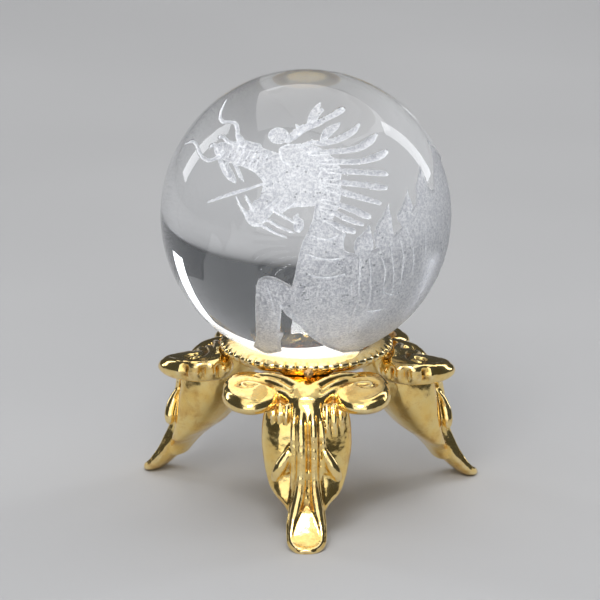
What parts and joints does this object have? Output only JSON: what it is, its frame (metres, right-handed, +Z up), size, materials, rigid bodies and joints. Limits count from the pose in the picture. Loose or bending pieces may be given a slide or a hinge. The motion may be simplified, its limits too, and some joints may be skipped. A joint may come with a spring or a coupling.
{
  "type": "crystal ball on stand",
  "caption": "Clear crystal ball with a carved dragon, resting loose in a small gold-plated stand of scroll legs under a ribbed seat ring.",
  "frame": {"origin": "on the surface the feet stand on, at the middle of the whole object's footprint box; the stand's own axis is 0.46 mm to its -X side and 2.2 mm behind it", "axes": "+Z up through the ball, the front leg points along -Y, +X to the right seen from the front"},
  "size_m": [0.035, 0.0344, 0.0452],
  "materials": {
    "crystal": "polished, with a frosted carving",
    "gold_plate": "polished cast metal, gold plated",
    "solder": "satin, gold plated over solder"
  },
  "bodies": {
    "stand": {"seat_ring": "gold_plate", "leg_front": "gold_plate", "leg_back_left": "gold_plate", "leg_back_right": "gold_plate", "solder_front": "solder", "solder_back_left": "solder", "solder_back_right": "solder"},
    "ball": {"crystal_ball": "crystal"}
  },
  "joints": [
    {"name": "ball_lift", "type": "slide", "parent": "stand", "child": "ball", "axis": [0, 0, 1], "range_m": [0, 0.03]}
  ]
}
